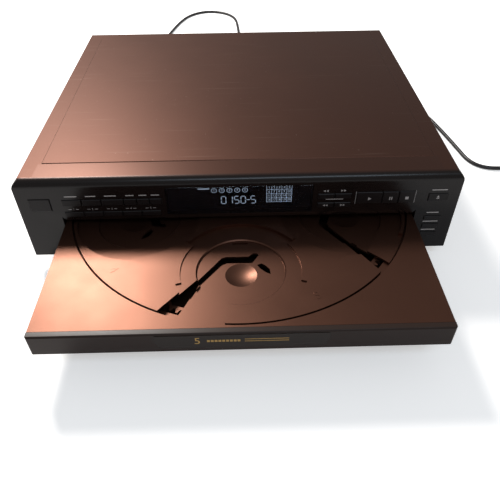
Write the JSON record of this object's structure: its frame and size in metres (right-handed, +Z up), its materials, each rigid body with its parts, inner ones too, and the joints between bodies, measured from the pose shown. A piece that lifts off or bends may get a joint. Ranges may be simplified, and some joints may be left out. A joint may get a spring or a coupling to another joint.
{
  "type": "multi disc cd changer",
  "caption": "Front-loading carousel CD changer with its slide-out tray and turning disc table, function keys, display window and mains cord.",
  "frame": {"origin": "on the shelf, under the middle of the changer's plan with its tray out and without the cord", "axes": "+Y from the front to the back, +Z up from the shelf, +X to the right seen from the front"},
  "size_m": [0.6265, 0.9201, 0.11],
  "materials": {
    "case_steel": "satin brown-black enamel with fine scratches",
    "panel_plastic": "satin black moulding with a glossy rounded edge",
    "window_plastic": "high-gloss smoked window",
    "key_plastic": "fine matt",
    "tray_plastic": "fine grained bronze-brown moulding",
    "tray_front_plastic": "satin",
    "carousel_plastic": "fine grained bronze-brown moulding",
    "black_plastic": "plain",
    "gear_plastic": "natural acetal",
    "zinc_steel": "zinc-plated sheet",
    "rod_steel": "ground",
    "circuit_board": "paper laminate",
    "tube_glass": "dark glass envelope",
    "transformer_iron": "varnished laminations",
    "belt_rubber": "matt",
    "foot_rubber": "matt",
    "cord_pvc": "smooth black sheath",
    "screw_steel": "black-plated"
  },
  "bodies": {
    "cabinet": {"base_chassis": "zinc_steel", "rear_panel": "case_steel", "top_cover": "case_steel", "front_panel": "panel_plastic", "display_window": "window_plastic", "display_tube": "tube_glass", "display_board": "circuit_board", "main_board": "circuit_board", "power_transformer": "transformer_iron", "output_jacks": "black_plastic", "optical_output": "black_plastic", "cord_bushing": "cord_pvc", "feet": "foot_rubber", "cover_screws": "screw_steel", "loading_frame": "black_plastic", "player_frame": "black_plastic", "guide_rods": "rod_steel", "spindle_motor": "zinc_steel", "loading_motor": "zinc_steel", "loading_belt": "belt_rubber", "power_cord": "cord_pvc", "cord_coil": "cord_pvc", "plug": "cord_pvc"},
    "tray": {"tray": "tray_plastic", "tray_front": "tray_front_plastic", "tray_front_plate": "tray_front_plastic", "table_motor": "zinc_steel", "table_cap": "black_plastic"},
    "carousel": {"carousel": "carousel_plastic"},
    "table_pinion": {"table_pinion": "gear_plastic"},
    "loading_gear": {"loading_gear": "gear_plastic"},
    "motor_pulley": {"motor_pulley": "gear_plastic"},
    "spindle_turntable": {"spindle_turntable": "black_plastic"},
    "optical_pickup": {"optical_pickup": "black_plastic"},
    "clamp_arm": {"clamp_arm": "black_plastic"},
    "clamp_puck": {"clamp_puck": "black_plastic"},
    "power_key": {"power_key": "key_plastic"},
    "continue_key": {"continue_key": "key_plastic"},
    "shuffle_key": {"shuffle_key": "key_plastic"},
    "program_key": {"program_key": "key_plastic"},
    "check_key": {"check_key": "key_plastic"},
    "clear_key": {"clear_key": "key_plastic"},
    "repeat_key": {"repeat_key": "key_plastic"},
    "disc_key_1": {"disc_key_1": "key_plastic"},
    "disc_key_2": {"disc_key_2": "key_plastic"},
    "disc_key_3": {"disc_key_3": "key_plastic"},
    "disc_key_4": {"disc_key_4": "key_plastic"},
    "disc_key_5": {"disc_key_5": "key_plastic"},
    "skip_back_key": {"skip_back_key": "key_plastic"},
    "skip_forward_key": {"skip_forward_key": "key_plastic"},
    "search_back_key": {"search_back_key": "key_plastic"},
    "search_forward_key": {"search_forward_key": "key_plastic"},
    "play_key": {"play_key": "key_plastic"},
    "pause_key": {"pause_key": "key_plastic"},
    "stop_key": {"stop_key": "key_plastic"},
    "open_close_key": {"open_close_key": "key_plastic"},
    "time_key": {"time_key": "key_plastic"},
    "fade_key": {"fade_key": "key_plastic"},
    "edit_key": {"edit_key": "key_plastic"}
  },
  "joints": [
    {"name": "tray_slide", "type": "slide", "parent": "cabinet", "child": "tray", "axis": [0, 1, 0], "range_m": [0, 0.14]},
    {"name": "carousel_turn", "type": "hinge", "parent": "tray", "child": "carousel", "pos_m": [0, -0.07635, 0.0583], "axis": [0, 0, 1], "continuous": true},
    {"name": "table_pinion_turn", "type": "hinge", "parent": "tray", "child": "table_pinion", "pos_m": [0.12304, 0.04669, 0.048], "axis": [0, 0, 1], "continuous": true},
    {"name": "loading_gear_turn", "type": "hinge", "parent": "cabinet", "child": "loading_gear", "pos_m": [-0.138, 0.05335, 0.028], "axis": [0, 0, 1], "range_deg": [-580, 5]},
    {"name": "motor_pulley_turn", "type": "hinge", "parent": "cabinet", "child": "motor_pulley", "pos_m": [-0.195, 0.05335, 0.023], "axis": [0, 0, 1], "range_deg": [-3310, 10]},
    {"name": "spindle_turn", "type": "hinge", "parent": "cabinet", "child": "spindle_turntable", "pos_m": [0, 0.17065, 0.068], "axis": [0, 0, 1], "continuous": true},
    {"name": "pickup_slide", "type": "slide", "parent": "cabinet", "child": "optical_pickup", "axis": [1, 0, 0], "range_m": [0, 0.035]},
    {"name": "clamp_lift", "type": "hinge", "parent": "cabinet", "child": "clamp_arm", "pos_m": [0, 0.22635, 0.08], "axis": [-1, 0, 0], "range_deg": [0, 6]},
    {"name": "clamp_puck_turn", "type": "hinge", "parent": "clamp_arm", "child": "clamp_puck", "pos_m": [0, 0.17065, 0.078], "axis": [0, 0, 1], "continuous": true},
    {"name": "power_press", "type": "slide", "parent": "cabinet", "child": "power_key", "axis": [0, 1, 0], "range_m": [0, 0.0009], "stiffness_N_per_m": 600},
    {"name": "continue_press", "type": "slide", "parent": "cabinet", "child": "continue_key", "axis": [0, 1, 0], "range_m": [0, 0.0009], "stiffness_N_per_m": 600},
    {"name": "shuffle_press", "type": "slide", "parent": "cabinet", "child": "shuffle_key", "axis": [0, 1, 0], "range_m": [0, 0.0009], "stiffness_N_per_m": 600},
    {"name": "program_press", "type": "slide", "parent": "cabinet", "child": "program_key", "axis": [0, 1, 0], "range_m": [0, 0.0009], "stiffness_N_per_m": 600},
    {"name": "check_press", "type": "slide", "parent": "cabinet", "child": "check_key", "axis": [0, 1, 0], "range_m": [0, 0.0009], "stiffness_N_per_m": 600},
    {"name": "clear_press", "type": "slide", "parent": "cabinet", "child": "clear_key", "axis": [0, 1, 0], "range_m": [0, 0.0009], "stiffness_N_per_m": 600},
    {"name": "repeat_press", "type": "slide", "parent": "cabinet", "child": "repeat_key", "axis": [0, 1, 0], "range_m": [0, 0.0009], "stiffness_N_per_m": 600},
    {"name": "disc_1_press", "type": "slide", "parent": "cabinet", "child": "disc_key_1", "axis": [0, 1, 0], "range_m": [0, 0.0009], "stiffness_N_per_m": 600},
    {"name": "disc_2_press", "type": "slide", "parent": "cabinet", "child": "disc_key_2", "axis": [0, 1, 0], "range_m": [0, 0.0009], "stiffness_N_per_m": 600},
    {"name": "disc_3_press", "type": "slide", "parent": "cabinet", "child": "disc_key_3", "axis": [0, 1, 0], "range_m": [0, 0.0009], "stiffness_N_per_m": 600},
    {"name": "disc_4_press", "type": "slide", "parent": "cabinet", "child": "disc_key_4", "axis": [0, 1, 0], "range_m": [0, 0.0009], "stiffness_N_per_m": 600},
    {"name": "disc_5_press", "type": "slide", "parent": "cabinet", "child": "disc_key_5", "axis": [0, 1, 0], "range_m": [0, 0.0009], "stiffness_N_per_m": 600},
    {"name": "skip_back_press", "type": "slide", "parent": "cabinet", "child": "skip_back_key", "axis": [0, 1, 0], "range_m": [0, 0.0009], "stiffness_N_per_m": 600},
    {"name": "skip_forward_press", "type": "slide", "parent": "cabinet", "child": "skip_forward_key", "axis": [0, 1, 0], "range_m": [0, 0.0009], "stiffness_N_per_m": 600},
    {"name": "search_back_press", "type": "slide", "parent": "cabinet", "child": "search_back_key", "axis": [0, 1, 0], "range_m": [0, 0.0009], "stiffness_N_per_m": 600},
    {"name": "search_forward_press", "type": "slide", "parent": "cabinet", "child": "search_forward_key", "axis": [0, 1, 0], "range_m": [0, 0.0009], "stiffness_N_per_m": 600},
    {"name": "play_press", "type": "slide", "parent": "cabinet", "child": "play_key", "axis": [0, 1, 0], "range_m": [0, 0.0009], "stiffness_N_per_m": 600},
    {"name": "pause_press", "type": "slide", "parent": "cabinet", "child": "pause_key", "axis": [0, 1, 0], "range_m": [0, 0.0009], "stiffness_N_per_m": 600},
    {"name": "stop_press", "type": "slide", "parent": "cabinet", "child": "stop_key", "axis": [0, 1, 0], "range_m": [0, 0.0009], "stiffness_N_per_m": 600},
    {"name": "open_close_press", "type": "slide", "parent": "cabinet", "child": "open_close_key", "axis": [0, 1, 0], "range_m": [0, 0.0009], "stiffness_N_per_m": 600},
    {"name": "time_press", "type": "slide", "parent": "cabinet", "child": "time_key", "axis": [0, 1, 0], "range_m": [0, 0.0009], "stiffness_N_per_m": 600},
    {"name": "fade_press", "type": "slide", "parent": "cabinet", "child": "fade_key", "axis": [0, 1, 0], "range_m": [0, 0.0009], "stiffness_N_per_m": 600},
    {"name": "edit_press", "type": "slide", "parent": "cabinet", "child": "edit_key", "axis": [0, 1, 0], "range_m": [0, 0.0009], "stiffness_N_per_m": 600}
  ],
  "couplings": [
    {"joint": "table_pinion_turn", "follows": "carousel_turn", "ratio": -11.429},
    {"joint": "loading_gear_turn", "follows": "tray_slide", "rad_per_m": -71.429},
    {"joint": "motor_pulley_turn", "follows": "tray_slide", "rad_per_m": -410.71}
  ]
}
